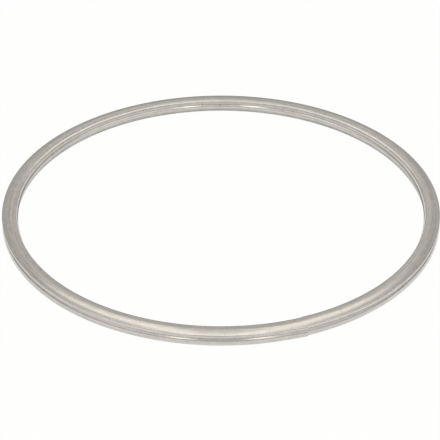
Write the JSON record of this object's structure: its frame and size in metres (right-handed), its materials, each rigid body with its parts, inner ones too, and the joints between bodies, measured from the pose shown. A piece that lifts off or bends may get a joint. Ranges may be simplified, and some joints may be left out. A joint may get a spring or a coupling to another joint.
{
  "type": "spiral wound gasket",
  "caption": "Thin round gasket wound from a chevron-rolled metal strip with soft filler tape between its plies, to seal a pipe or vessel flange joint.",
  "frame": {"origin": "centre of the ring on the plane of its lower face", "axes": "+Z along the gasket's axis, out of its upper face; the strip's free outer end lies in the XY plane at 291 degrees anticlockwise from +X"},
  "size_m": [0.1601, 0.1601, 0.0048],
  "materials": {
    "stainless_strip": "satin rolled stainless strip with fine lines along its length",
    "filler_tape": "pressed light grey filler, smeared flush with the strip's edges"
  },
  "bodies": {
    "root": {"steel_strip_winding": "stainless_strip", "filler_tape_winding": "filler_tape"}
  },
  "joints": []
}
